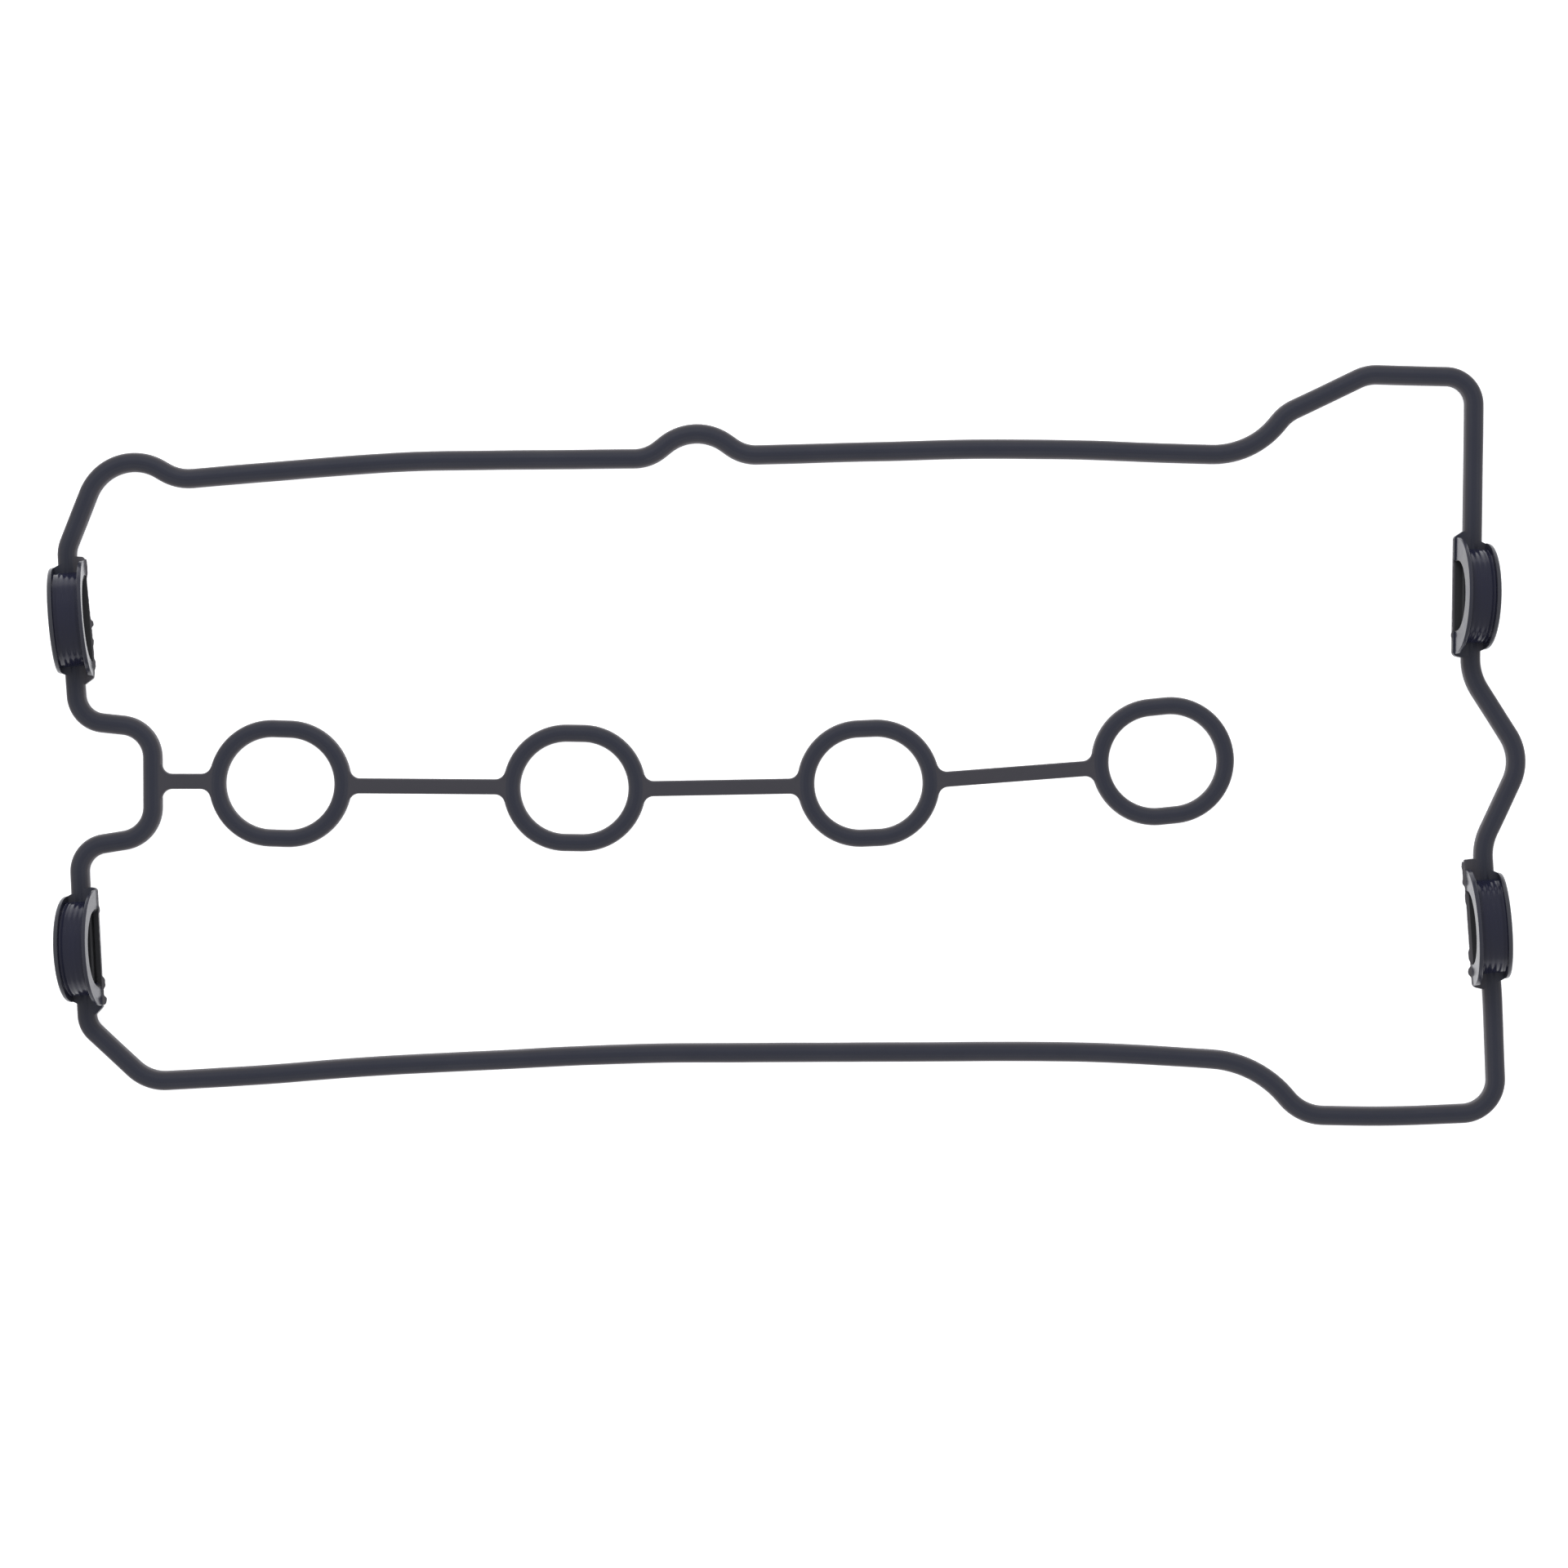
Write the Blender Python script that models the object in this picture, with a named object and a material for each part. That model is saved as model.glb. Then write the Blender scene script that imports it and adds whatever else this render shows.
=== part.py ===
"""Moulded rubber valve cover gasket for an inline four-cylinder engine.

One closed bead follows the rim of the cover. Inside it a chain of four rings
seals the spark plug wells, held in line by narrow webs. Four half-moon plugs
close the camshaft openings at the two ends of the cylinder head.

The gasket lies with its groove tongue down and its half-moons up, so +Z is the
side that faces the cylinder head. +X runs along the camshafts to the wide end
with the chain tunnel. All sizes are in millimetres until the objects are made.
"""

import math

import bmesh
import bpy
from mathutils import Matrix, Vector

MM = 0.001
MERGE = 0.000001

# Sealing bead round the rim
BEAD_WIDTH = 5.3
BEAD_HEIGHT = 5.0
FLANGE_THICKNESS = 2.1
TONGUE_WIDTH = 3.3
TONGUE_TAPER = 0.25
EDGE_ROUND = 0.6
RIB_WIDTH = 1.7
RIB_HEIGHT = 0.3

# Rings round the spark plug wells
RING_COUNT = 4
RING_PITCH = 80.0
FIRST_RING_GAP = 34.7
RING_INSIDE_WIDTH = 25.0
RING_STRAIGHT = 4.4
RING_BEAD_WIDTH = 4.75
# The chain is soft and lies a little crooked: sideways shift and tilt of each ring
RING_SHIFT = (0.2, -1.0, 0.3, 6.3)
RING_TILT = (-2.0, -0.9, 2.5, 5.8)

# Webs between the rings
WEB_WIDTH = 4.2
WEB_THICKNESS = 1.5
WEB_DROP = 0.2
WEB_FILLET = 2.7
WEB_EDGE_ROUND = 0.35

# Half-moon plugs, listed from their inner face to their outer face
# Their flat edge is the joint plane, just over the shoulders of the bead
JOINT_RISE = 0.12
PLUG_FACE_OFFSET = 4.65
PLUG_FLANGE_RADIUS = 15.8
PLUG_FLANGE_THICKNESS = 1.0
PLUG_BARREL_RADIUS = 12.7
PLUG_BARREL_WIDTH = 6.95
PLUG_RIB_COUNT = 4
PLUG_RIB_PITCH = 1.45
PLUG_RIB_HEIGHT = 0.25
PLUG_LIP_RADIUS = 14.4
PLUG_LIP_THICKNESS = 1.25
PLUG_LIP_ROUND = 0.35
PLUG_SKIRT = 1.2

# Arched pocket in a plug's inner face; its floor steps down in front of the bead
POCKET_RADIUS = 9.4
POCKET_WALL = 1.5
POCKET_DEPTH = 5.65
POCKET_FLOOR_DROP = 0.15
POCKET_STEP_DROP = 0.8
POCKET_RIM = 0.3
MIN_FLOOR = 0.2

# Plinth that carries a plug on the bead
PLINTH_OVERHANG = 0.4
PLINTH_DROP = 0.1
PLINTH_THICKNESS = 2.2
PLINTH_INNER_TAPER = 1.3
PLINTH_OUTER_TAPER = 0.8

# Fineness of the curved surfaces
BEND_STEP = 12.0
RING_STEP = 15.0
PLUG_STEPS = 14
FILLET_STEPS = 4
SMOOTH_ANGLE = 35.0

# Bends of the rim's centre line, clockwise from the upper left plug: x, y, radius
OUTLINE = (
    (-195.2, 63.9, 8.9),
    (-183.5, 93.6, 13.5),
    (-165.0, 82.9, 12.9),
    (-104.7, 87.9, 444.0),
    (-37.0, 88.6, 11.3),
    (-24.2, 98.8, 13.6),
    (-11.2, 89.5, 11.3),
    (63.5, 91.6, 755.0),
    (127.0, 89.3, 22.2),
    (136.5, 100.9, 11.6),
    (158.6, 111.5, 11.6),
    (187.7, 110.7, 7.6),
    (186.6, 29.6, 15.6),
    (200.9, 7.2, 13.1),
    (189.8, -16.2, 15.6),
    (192.6, -57.3, 66.0),
    (193.8, -89.2, 9.3),
    (163.3, -90.4, 422.0),
    (140.6, -90.0, 12.9),
    (128.5, -75.5, 28.4),
    (82.6, -72.6, 600.0),
    (-43.8, -73.2, 1000.0),
    (-115.5, -76.9, 888.0),
    (-141.1, -79.1, 444.0),
    (-173.0, -80.8, 12.2),
    (-189.5, -65.6, 6.7),
    (-192.0, -17.2, 7.6),
    (-171.8, -14.0, 9.1),
    (-171.8, 15.3, 8.9),
    (-192.1, 17.4, 7.8),
)

# The two ends of the rim
NARROW_END = -1
WIDE_END = 1

# Each plug: the end of the rim that carries it, its place along Y, its lean in degrees
# and the width of the ledge in front of its flange
PLUGS = (
    ("upper_left", NARROW_END, 44.7, -5.5, 0.55),
    ("upper_right", WIDE_END, 51.1, 3.1, 0.45),
    ("lower_right", WIDE_END, -38.6, -3.8, 0.75),
    ("lower_left", NARROW_END, -44.6, 3.0, 0.15),
)

RUBBER_COLOUR = (0.016, 0.017, 0.021, 1.0)
RUBBER_ROUGHNESS = 0.55

# Sizes that follow from the ones above
FLANGE_BOTTOM = BEAD_HEIGHT - RIB_HEIGHT - FLANGE_THICKNESS
SHOULDER = BEAD_HEIGHT - RIB_HEIGHT
JOINT_PLANE = SHOULDER + JOINT_RISE
RING_CENTRE_RADIUS = (RING_INSIDE_WIDTH + RING_BEAD_WIDTH) / 2
RING_OUTER_RADIUS = RING_INSIDE_WIDTH / 2 + RING_BEAD_WIDTH
PLUG_THICKNESS = PLUG_FLANGE_THICKNESS + PLUG_BARREL_WIDTH + PLUG_LIP_THICKNESS
PLUG_OUTER_FACE = PLUG_THICKNESS - PLUG_FACE_OFFSET


def clear_scene():
    """Start from an empty scene."""
    for item in list(bpy.data.objects):
        bpy.data.objects.remove(item, do_unlink=True)


def rubber_material():
    """Matt black rubber."""
    material = bpy.data.materials.new("moulded_rubber")
    material.use_nodes = True
    shader = material.node_tree.nodes["Principled BSDF"]
    shader.inputs["Base Color"].default_value = RUBBER_COLOUR
    shader.inputs["Roughness"].default_value = RUBBER_ROUGHNESS
    shader.inputs["Metallic"].default_value = 0.0
    material.diffuse_color = RUBBER_COLOUR
    return material


def hide_helper(item):
    """Keep a helper shape out of the finished part."""
    item.hide_render = True
    item.display_type = "WIRE"


def new_object(name, bm, collection=None):
    """Turn a bmesh in millimetres into an object in metres."""
    bmesh.ops.scale(bm, vec=(MM, MM, MM), verts=bm.verts)
    bmesh.ops.remove_doubles(bm, verts=bm.verts, dist=MERGE)
    bmesh.ops.recalc_face_normals(bm, faces=bm.faces)
    mesh = bpy.data.meshes.new(name)
    bm.to_mesh(mesh)
    bm.free()
    item = bpy.data.objects.new(name, mesh)
    (collection or bpy.context.scene.collection).objects.link(item)
    return item


def rounded_outline(bends, step):
    """Replace every corner of a closed polygon by an arc of its bend radius."""
    points = []
    count = len(bends)
    for index, (x, y, radius) in enumerate(bends):
        corner = Vector((x, y))
        back = Vector(bends[index - 1][:2]) - corner
        ahead = Vector(bends[(index + 1) % count][:2]) - corner
        turn = math.pi - back.angle(ahead)
        reach = radius * math.tan(turn / 2)
        half = (back.normalized() + ahead.normalized()).normalized()
        centre = corner + half * (radius / math.cos(turn / 2))
        start = corner + back.normalized() * reach - centre
        end = corner + ahead.normalized() * reach - centre
        sweep = start.angle_signed(end)
        pieces = math.ceil(math.degrees(turn) / step)
        for piece in range(pieces + 1):
            spoke = start.copy()
            spoke.rotate(Matrix.Rotation(-sweep * piece / pieces, 2))
            points.append(centre + spoke)
    return points


def rim_at(end, height):
    """Spot and direction of the rim's centre line where one end passes a height."""
    spots = []
    for index, bend in enumerate(OUTLINE):
        low = Vector(OUTLINE[index - 1][:2])
        high = Vector(bend[:2])
        if low.y > high.y:
            low, high = high, low
        if low.y <= height < high.y and low.x * end > 0:
            spot = low.lerp(high, (height - low.y) / (high.y - low.y))
            spots.append((spot.x * end, spot, (high - low).normalized()))
    return max(spots, key=lambda found: found[0])[1:]


def bead_section(width):
    """Half of the bead's section from the tongue's foot to the crest, then mirrored.

    A tongue fits the groove of the cover. The flange above it seals on the head
    with rounded shoulders and one low rib along its middle.
    """
    half = width / 2
    tongue = TONGUE_WIDTH / 2
    right = [
        (tongue - TONGUE_TAPER, 0.0),
        (tongue, FLANGE_BOTTOM),
        (half, FLANGE_BOTTOM),
        (half, SHOULDER - EDGE_ROUND),
        (half - EDGE_ROUND, SHOULDER),
        (RIB_WIDTH / 2, SHOULDER),
    ]
    left = [(-x, z) for x, z in reversed(right)]
    return right + [(0.0, BEAD_HEIGHT)] + left


def poly_curve(name, points, dimensions):
    """Closed curve through points given in millimetres."""
    curve = bpy.data.curves.new(name, "CURVE")
    curve.dimensions = dimensions
    spline = curve.splines.new("POLY")
    spline.points.add(len(points) - 1)
    for slot, point in zip(spline.points, points):
        slot.co = (point[0] * MM, point[1] * MM, 0.0, 1.0)
    spline.use_cyclic_u = True
    item = bpy.data.objects.new(name, curve)
    bpy.context.scene.collection.objects.link(item)
    hide_helper(item)
    return item


def swept_bead(name, points, width, collection=None):
    """Sweep the bead's section along a closed centre line."""
    path = poly_curve(name + "_path", points, "3D")
    section = poly_curve(name + "_section", bead_section(width), "2D")
    section.data.fill_mode = "NONE"
    path.data.twist_mode = "Z_UP"
    path.data.bevel_mode = "OBJECT"
    path.data.bevel_object = section
    depsgraph = bpy.context.evaluated_depsgraph_get()
    mesh = bpy.data.meshes.new_from_object(path.evaluated_get(depsgraph))
    bm = bmesh.new()
    bm.from_mesh(mesh)
    bpy.data.meshes.remove(mesh)
    bmesh.ops.scale(bm, vec=(1 / MM, 1 / MM, 1 / MM), verts=bm.verts)
    bpy.data.objects.remove(path, do_unlink=True)
    bpy.data.objects.remove(section, do_unlink=True)
    return new_object(name, bm, collection)


def ring_place(index):
    """Centre and long axis of one ring, counted from the narrow end's wall."""
    wall = rim_at(NARROW_END, RING_SHIFT[0])[0]
    along = wall.x + FIRST_RING_GAP + index * RING_PITCH
    centre = Vector((along, RING_SHIFT[index]))
    tilt = math.radians(RING_TILT[index])
    return centre, Vector((math.cos(tilt), math.sin(tilt)))


def ring_outline(index):
    """Two half circles joined by short straights."""
    centre, axis = ring_place(index)
    across = axis.orthogonal()
    steps = round(180 / RING_STEP)
    points = []
    for end in (1, -1):
        middle = centre + axis * (end * RING_STRAIGHT / 2)
        for step in range(steps + 1):
            angle = math.radians(-90 + step * 180 / steps)
            spoke = axis * math.cos(angle) + across * math.sin(angle)
            points.append(middle + spoke * (end * RING_CENTRE_RADIUS))
    return points


def flare(tip, direction, side, arc_centre, arc_radius, depth):
    """Fillet from one edge of a web to the round end of a ring.

    The fillet touches the web's edge and the ring's outer circle, and goes on
    inwards by depth so that its end is buried in the ring.
    """
    across = direction.orthogonal() * side
    local = arc_centre - tip
    offset = WEB_WIDTH / 2 + WEB_FILLET
    reach = arc_radius + WEB_FILLET
    along = local.dot(direction) + math.sqrt(reach ** 2 - (offset - local.dot(across)) ** 2)
    centre = tip + direction * along + across * offset
    to_ring = (arc_centre - centre).normalized()
    start = -across
    sweep = start.angle(to_ring)
    points = []
    for step in range(FILLET_STEPS + 1):
        angle = sweep * step / FILLET_STEPS
        spoke = start * math.cos(angle) - direction * math.sin(angle)
        points.append(centre + spoke * WEB_FILLET)
    points.append(arc_centre - to_ring * (arc_radius - depth))
    return points


def wall_flare(tip, direction, side, depth):
    """Fillet from one edge of a web to the straight end wall."""
    across = direction.orthogonal() * side
    start = tip + direction * (BEAD_WIDTH / 2 + WEB_FILLET)
    centre = start + across * (WEB_WIDTH / 2 + WEB_FILLET)
    points = []
    for step in range(FILLET_STEPS + 1):
        angle = math.radians(90 * step / FILLET_STEPS)
        spoke = -across * math.cos(angle) - direction * math.sin(angle)
        points.append(centre + spoke * WEB_FILLET)
    points.append(points[-1] - direction * depth)
    return points


def web(name, left_end, right_end, collection):
    """Flat strip with flared ends between two beads."""
    outline = []
    for end in (left_end, right_end):
        low = end(-1)
        high = end(1)
        outline += high + low[::-1]
    bm = bmesh.new()
    verts = [bm.verts.new((p.x, p.y, SHOULDER - WEB_DROP - WEB_THICKNESS)) for p in outline]
    bottom = bm.faces.new(verts)
    grown = bmesh.ops.extrude_face_region(bm, geom=[bottom])
    top = [item for item in grown["geom"] if isinstance(item, bmesh.types.BMVert)]
    bmesh.ops.translate(bm, vec=(0, 0, WEB_THICKNESS), verts=top)
    rim = [edge for edge in bm.edges if all(vert in top for vert in edge.verts)]
    bmesh.ops.bevel(bm, geom=rim, offset=WEB_EDGE_ROUND, segments=1, affect="EDGES")
    return new_object(name, bm, collection)


def ring_end(index, side):
    """Tip of a ring on its long axis and the centre of its round end."""
    centre, axis = ring_place(index)
    middle = centre + axis * (side * RING_STRAIGHT / 2)
    tip = middle + axis * (side * RING_CENTRE_RADIUS)
    return tip, middle


def chain_webs(collection):
    """Webs from the end wall through the chain of rings."""
    depth = RING_BEAD_WIDTH / 2
    for index in range(RING_COUNT):
        right_tip, right_centre = ring_end(index, -1)
        if index:
            left_tip, left_centre = ring_end(index - 1, 1)
        else:
            left_tip, left_centre = rim_at(NARROW_END, right_tip.y)[0], None
        direction = (right_tip - left_tip).normalized()

        def left_end(side, tip=left_tip, centre=left_centre, ahead=direction):
            if centre is None:
                return wall_flare(tip, ahead, side, BEAD_WIDTH / 2)
            return flare(tip, ahead, side, centre, RING_OUTER_RADIUS, depth)

        def right_end(side, tip=right_tip, centre=right_centre, ahead=direction):
            return flare(tip, -ahead, side, centre, RING_OUTER_RADIUS, depth)

        web(f"web_{index + 1}", left_end, right_end, collection)


def plug_profile():
    """Radii of a plug along its axis, from the inner face to the outer face."""
    inner = -PLUG_FACE_OFFSET
    barrel = inner + PLUG_FLANGE_THICKNESS
    lip = barrel + PLUG_BARREL_WIDTH
    points = [(inner, 0.0), (inner, PLUG_FLANGE_RADIUS), (barrel, PLUG_FLANGE_RADIUS)]
    points.append((barrel, PLUG_BARREL_RADIUS))
    first = barrel + (PLUG_BARREL_WIDTH - PLUG_RIB_COUNT * PLUG_RIB_PITCH) / 2
    for rib in range(PLUG_RIB_COUNT):
        foot = first + rib * PLUG_RIB_PITCH
        points.append((foot, PLUG_BARREL_RADIUS))
        points.append((foot + PLUG_RIB_PITCH / 2, PLUG_BARREL_RADIUS + PLUG_RIB_HEIGHT))
    points.append((first + PLUG_RIB_COUNT * PLUG_RIB_PITCH, PLUG_BARREL_RADIUS))
    points.append((lip, PLUG_BARREL_RADIUS))
    points.append((lip, PLUG_LIP_RADIUS))
    points.append((PLUG_OUTER_FACE - PLUG_LIP_ROUND, PLUG_LIP_RADIUS))
    points.append((PLUG_OUTER_FACE, PLUG_LIP_RADIUS - PLUG_LIP_ROUND))
    points.append((PLUG_OUTER_FACE, 0.0))
    return points


def half_moon(name, collection):
    """Turn the plug's profile through half a circle and give it a flat foot."""
    bm = bmesh.new()
    verts = [bm.verts.new((x, -radius, 0.0)) for x, radius in plug_profile()]
    edges = [bm.edges.new(pair) for pair in zip(verts, verts[1:])]
    bmesh.ops.spin(
        bm,
        geom=verts + edges,
        cent=(0, 0, 0),
        axis=(1, 0, 0),
        angle=-math.pi,
        steps=PLUG_STEPS,
        use_duplicate=False,
    )
    bmesh.ops.remove_doubles(bm, verts=bm.verts, dist=0.001)
    rim = [edge for edge in bm.edges if edge.is_boundary]
    grown = bmesh.ops.extrude_edge_only(bm, edges=rim)["geom"]
    lower = [item for item in grown if isinstance(item, bmesh.types.BMVert)]
    bmesh.ops.translate(bm, vec=(0, 0, -PLUG_SKIRT), verts=lower)
    foot = [item for item in grown if isinstance(item, bmesh.types.BMEdge)]
    bmesh.ops.contextual_create(bm, geom=foot)
    return new_object(name, bm, collection)


def prism(name, outline, bottom, top, axis, collection):
    """Extrude a flat outline along X or Z."""
    bm = bmesh.new()
    if axis == "Z":
        verts = [bm.verts.new((a, b, bottom)) for a, b in outline]
        travel = Vector((0, 0, top - bottom))
    else:
        verts = [bm.verts.new((bottom, a, b)) for a, b in outline]
        travel = Vector((top - bottom, 0, 0))
    face = bm.faces.new(verts)
    grown = bmesh.ops.extrude_face_region(bm, geom=[face])
    moved = [item for item in grown["geom"] if isinstance(item, bmesh.types.BMVert)]
    bmesh.ops.translate(bm, vec=travel, verts=moved)
    return new_object(name, bm, collection)


def plinth(name, ledge, collection):
    """Foot of a plug: a ledge in front of its flange that tapers into the bead."""
    inner = -PLUG_FACE_OFFSET - ledge
    outer = PLUG_OUTER_FACE - PLUG_LIP_ROUND
    long_half = PLUG_FLANGE_RADIUS + PLINTH_OVERHANG
    short_half = PLUG_LIP_RADIUS - PLUG_LIP_ROUND
    neck = BEAD_WIDTH / 2 - PLINTH_DROP
    outline = [
        (inner, -long_half),
        (-neck, -long_half - PLINTH_INNER_TAPER),
        (neck, -short_half - PLINTH_OUTER_TAPER),
        (outer, -short_half),
        (outer, short_half),
        (neck, short_half + PLINTH_OUTER_TAPER),
        (-neck, long_half + PLINTH_INNER_TAPER),
        (inner, long_half),
    ]
    top = -PLINTH_DROP
    return prism(name, outline, top - PLINTH_THICKNESS, top, "Z", collection)


def pocket_mouth(ledge):
    """Where a pocket starts: behind the rim of a wide ledge, or through a narrow one."""
    if ledge > POCKET_RIM + MIN_FLOOR:
        return -PLUG_FACE_OFFSET - ledge + POCKET_RIM
    return -PLUG_FACE_OFFSET - ledge - POCKET_RIM


def pocket(name, mouth, collection):
    """Arched hollow in the inner face, with its floor just below the joint plane."""
    back = -PLUG_FACE_OFFSET + POCKET_DEPTH
    outline = [(-POCKET_RADIUS, -POCKET_FLOOR_DROP), (POCKET_RADIUS, -POCKET_FLOOR_DROP)]
    for step in range(PLUG_STEPS + 1):
        angle = math.pi * step / PLUG_STEPS
        height = POCKET_WALL + POCKET_RADIUS * math.sin(angle)
        outline.append((POCKET_RADIUS * math.cos(angle), height))
    return prism(name, outline, mouth, back, "X", collection)


def pocket_step(name, mouth, collection):
    """Deeper part of the pocket's floor in front of the bead."""
    bead_side = -BEAD_WIDTH / 2
    outline = [
        (-POCKET_RADIUS, -POCKET_STEP_DROP),
        (POCKET_RADIUS, -POCKET_STEP_DROP),
        (POCKET_RADIUS, POCKET_WALL / 2),
        (-POCKET_RADIUS, POCKET_WALL / 2),
    ]
    return prism(name, outline, mouth, bead_side, "X", collection)


def plug_place(end, height, lean):
    """Where a plug stands on the rim, as a matrix in metres."""
    spot, along = rim_at(end, height)
    yaw = math.atan2(-along.x, along.y)
    if end == NARROW_END:
        yaw += math.pi
    place = Matrix.Translation((spot.x * MM, spot.y * MM, JOINT_PLANE * MM))
    turn = Matrix.Rotation(yaw, 4, "Z")
    tip = Matrix.Rotation(math.radians(lean), 4, "Y")
    return place @ turn @ tip


def helper_collection(name):
    """Collection for shapes that a Boolean joins or cuts."""
    collection = bpy.data.collections.new(name)
    bpy.context.scene.collection.children.link(collection)
    return collection


def combine(item, name, operation, collection):
    """Join or cut every shape of a collection with an exact Boolean."""
    modifier = item.modifiers.new(name, "BOOLEAN")
    modifier.operation = operation
    modifier.operand_type = "COLLECTION"
    modifier.collection = collection
    modifier.solver = "EXACT"
    modifier.use_self = False


def smooth_by_angle(item):
    """Shade rounded surfaces smooth and keep every edge sharper than an angle crisp."""
    group = bpy.data.node_groups.new("smooth_by_angle", "GeometryNodeTree")
    group.is_modifier = True
    for side in ("INPUT", "OUTPUT"):
        group.interface.new_socket("Geometry", in_out=side, socket_type="NodeSocketGeometry")
    start = group.nodes.new("NodeGroupInput")
    finish = group.nodes.new("NodeGroupOutput")
    angle = group.nodes.new("GeometryNodeInputMeshEdgeAngle")
    flat_enough = group.nodes.new("FunctionNodeCompare")
    flat_enough.operation = "LESS_EQUAL"
    flat_enough.inputs["B"].default_value = math.radians(SMOOTH_ANGLE)
    faces = group.nodes.new("GeometryNodeSetShadeSmooth")
    faces.domain = "FACE"
    edges = group.nodes.new("GeometryNodeSetShadeSmooth")
    edges.domain = "EDGE"
    link = group.links.new
    link(angle.outputs["Unsigned Angle"], flat_enough.inputs["A"])
    link(flat_enough.outputs["Result"], edges.inputs["Shade Smooth"])
    link(start.outputs["Geometry"], faces.inputs["Geometry"])
    link(faces.outputs["Geometry"], edges.inputs["Geometry"])
    link(edges.outputs["Geometry"], finish.inputs["Geometry"])
    modifier = item.modifiers.new("smooth_by_angle", "NODES")
    modifier.node_group = group


def build_gasket():
    """Join the bead, rings, webs and plugs into one piece of rubber."""
    additions = helper_collection("joined_shapes")
    hollows = helper_collection("plug_pockets")
    gasket = swept_bead("gasket", rounded_outline(OUTLINE, BEND_STEP), BEAD_WIDTH)
    for index in range(RING_COUNT):
        swept_bead(f"ring_{index + 1}", ring_outline(index), RING_BEAD_WIDTH, additions)
    chain_webs(additions)
    for name, end, height, lean, ledge in PLUGS:
        place = plug_place(end, height, lean)
        mouth = pocket_mouth(ledge)
        half_moon(f"{name}_plug", additions).matrix_world = place
        plinth(f"{name}_plinth", ledge, additions).matrix_world = place
        pocket(f"{name}_pocket", mouth, hollows).matrix_world = place
        pocket_step(f"{name}_pocket_step", mouth, hollows).matrix_world = place
    helpers = list(additions.objects) + list(hollows.objects)
    for helper in helpers:
        hide_helper(helper)
        helper.parent = gasket
    combine(gasket, "join", "UNION", additions)
    combine(gasket, "hollow", "DIFFERENCE", hollows)
    smooth_by_angle(gasket)
    return gasket


def centre_on_origin(gasket):
    """Put the middle of the finished part's footprint over the origin."""
    bpy.context.view_layer.update()
    depsgraph = bpy.context.evaluated_depsgraph_get()
    corners = [vert.co for vert in gasket.evaluated_get(depsgraph).data.vertices]
    xs = [corner.x for corner in corners]
    ys = [corner.y for corner in corners]
    zs = [corner.z for corner in corners]
    middle = Vector(((min(xs) + max(xs)) / 2, (min(ys) + max(ys)) / 2, min(zs)))
    gasket.location = -middle


def main():
    clear_scene()
    gasket = build_gasket()
    gasket.data.materials.append(rubber_material())
    centre_on_origin(gasket)
    bpy.context.view_layer.update()


main()
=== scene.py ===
"""Moulded rubber valve cover gasket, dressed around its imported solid.

One smooth piece stands for the solid: the sealing bead, the chain of rings and
webs, and the four half-moon plugs with their pockets, ribs and mould flash.
Sizes are in millimetres until the piece is made.
"""

import math
import random

import bmesh
import bpy
from mathutils import Matrix, Vector, noise


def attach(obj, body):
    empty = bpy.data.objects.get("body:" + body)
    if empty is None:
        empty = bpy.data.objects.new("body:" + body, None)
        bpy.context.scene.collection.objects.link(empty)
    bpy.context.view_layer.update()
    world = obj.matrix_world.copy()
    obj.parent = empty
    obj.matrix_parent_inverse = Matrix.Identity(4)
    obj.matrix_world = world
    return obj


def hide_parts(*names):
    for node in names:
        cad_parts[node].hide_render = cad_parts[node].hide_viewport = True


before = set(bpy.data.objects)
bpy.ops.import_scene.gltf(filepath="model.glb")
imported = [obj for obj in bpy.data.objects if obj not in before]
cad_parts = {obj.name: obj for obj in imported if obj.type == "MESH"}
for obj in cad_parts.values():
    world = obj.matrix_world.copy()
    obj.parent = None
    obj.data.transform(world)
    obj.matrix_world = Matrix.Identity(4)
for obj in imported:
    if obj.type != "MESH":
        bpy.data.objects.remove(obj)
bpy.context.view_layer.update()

MM = 0.001
SEED = 7

# Place of the drawing's zero in the frame
SHIFT = Vector((-1.103, -10.617, 0.0))

# Sealing bead
BEAD_WIDTH = 5.3
BEAD_HEIGHT = 5.0
FLANGE_BOTTOM = 2.6
SHOULDER = 4.7
SHOULDER_DROP = 0.45
SHOULDER_ROUND = 1.0
CROWN_HALF_WIDTH = 1.25
CROWN_ROUND = 1.8
CREST_HALF_WIDTH = 0.35
CREST_DROP = 0.02
CREST_ROUND = 0.5
TONGUE_WIDTH = 3.3
TONGUE_TAPER = 0.25
TONGUE_ROUND = 0.3

# Slight waviness of the rim: sideways drift, its wavelength, and change of width
WAVE = 0.12
WAVE_LENGTH = 22.0
SWELL_SHARE = 0.1
SWELL_RATE = 2.3
SWELL_SPOT = Vector((5.0, 3.0, 1.0))

# Rings
RING_PITCH = 80.0
FIRST_RING_X = -137.1
RING_INSIDE_WIDTH = 25.0
RING_STRAIGHT = 4.4
RING_BEAD_WIDTH = 4.75
RING_SHIFT = (0.2, -1.0, 0.3, 6.3)
RING_TILT = (-2.0, -0.9, 2.5, 5.8)
RING_RADIUS = (RING_INSIDE_WIDTH + RING_BEAD_WIDTH) / 2
RING_OUTER_RADIUS = RING_INSIDE_WIDTH / 2 + RING_BEAD_WIDTH

# Webs
WEB_WIDTH = 4.2
WEB_TOP = 4.5
WEB_THICKNESS = 1.5
WEB_FILLET = 2.7
WEB_TOP_ROUND = 0.6
WEB_FOOT_ROUND = 0.25

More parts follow.
